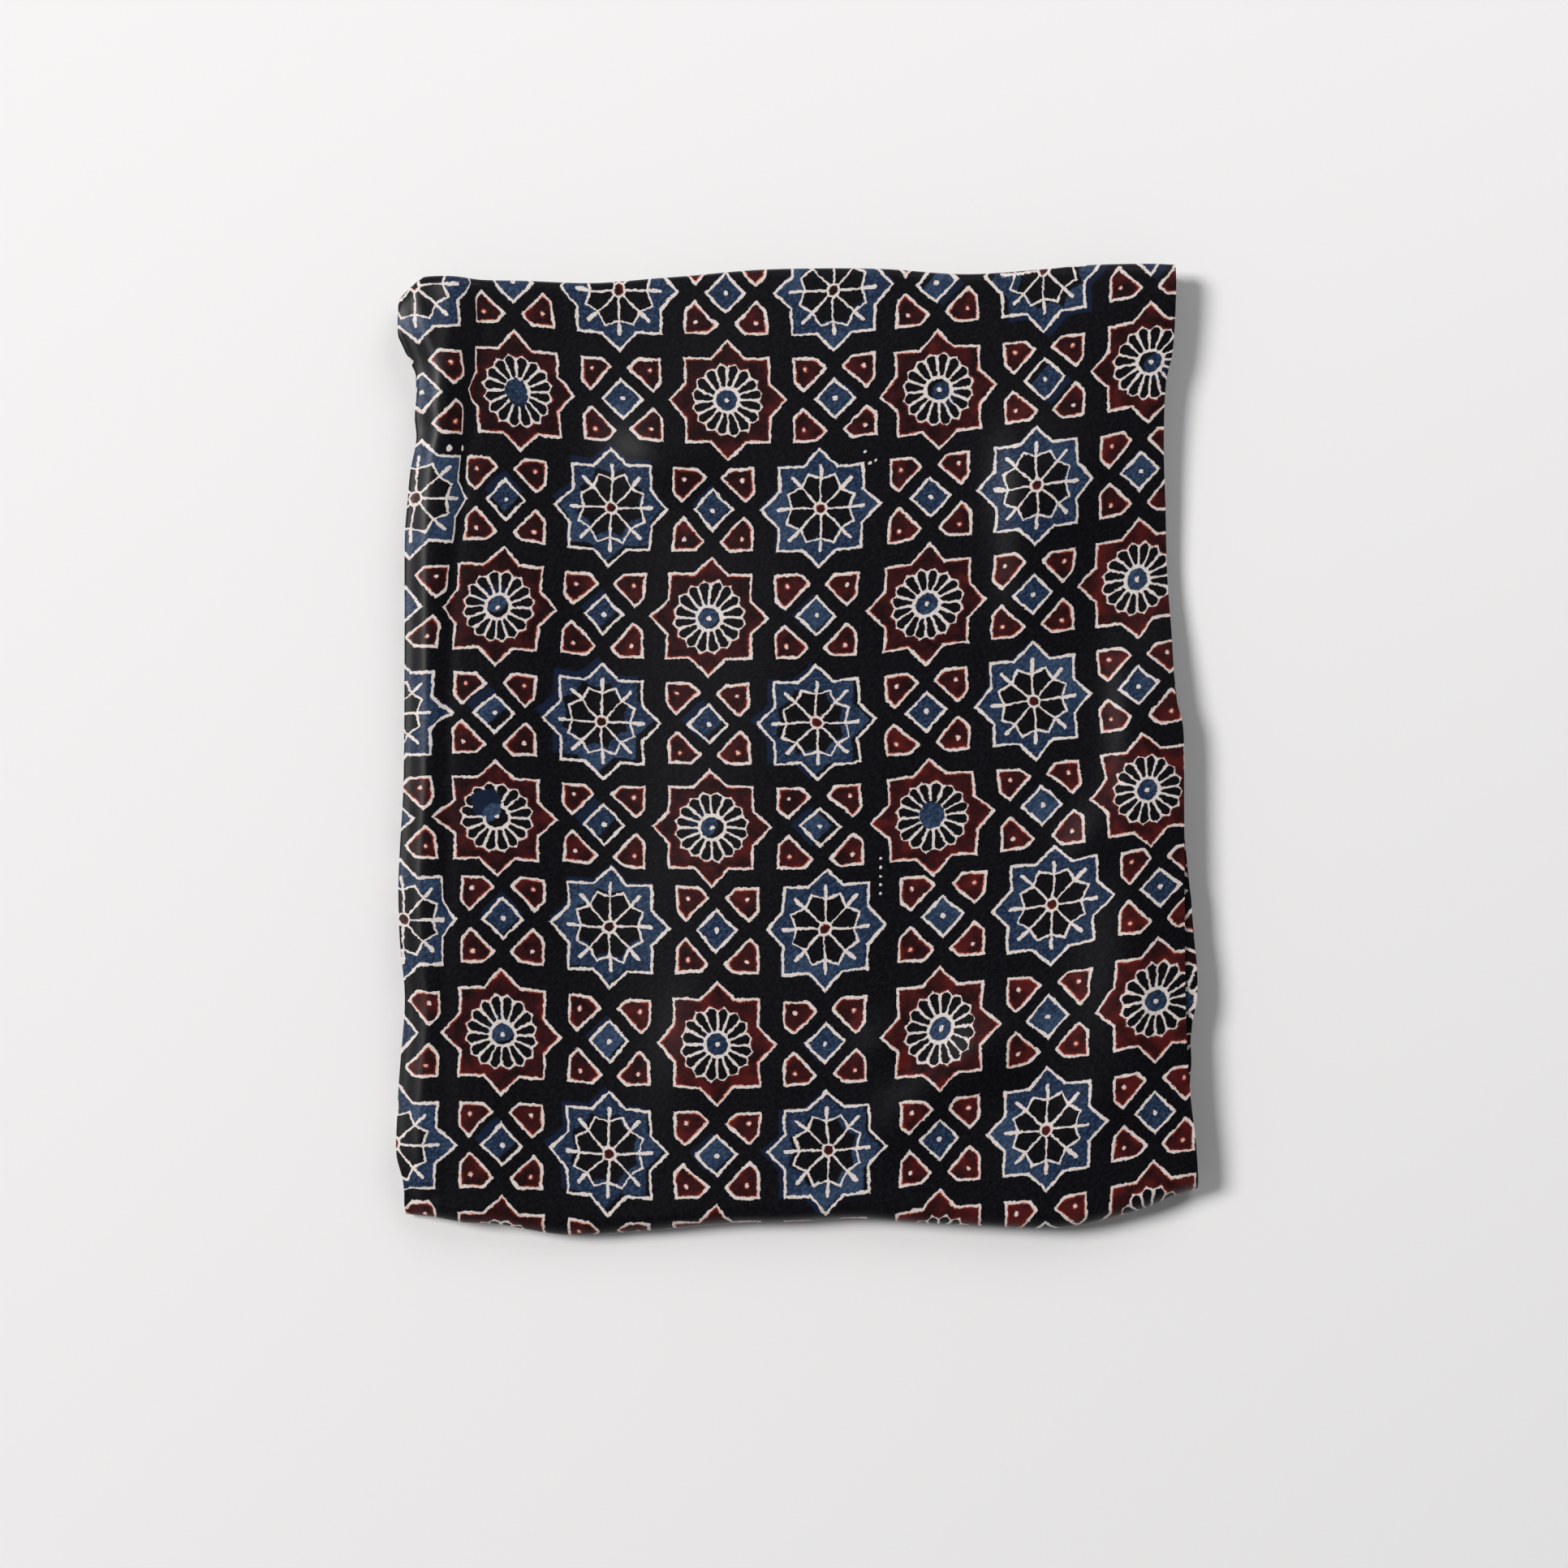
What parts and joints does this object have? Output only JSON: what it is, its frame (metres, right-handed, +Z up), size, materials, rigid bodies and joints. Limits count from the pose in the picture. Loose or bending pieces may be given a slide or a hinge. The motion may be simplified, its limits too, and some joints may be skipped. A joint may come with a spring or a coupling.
{
  "type": "folded ajrakh cloth",
  "caption": "A thin block-printed ajrakh cloth folded flat into an oblong packet, with a soft folded side, a selvedge side and a pressing crease.",
  "frame": {"origin": "centre of the bounding box's underside, on the surface the packet lies on", "axes": "+Z up through the layers, +Y along the packet towards its far turned edge, -X towards the folded side and +X towards the selvedges"},
  "size_m": [0.2888, 0.3502, 0.0154],
  "materials": {
    "cloth": "satin-weave cotton, near-black ground with indigo, madder and cream block print, soft sheen"
  },
  "bodies": {
    "root": {"cloth": "cloth"}
  },
  "joints": []
}
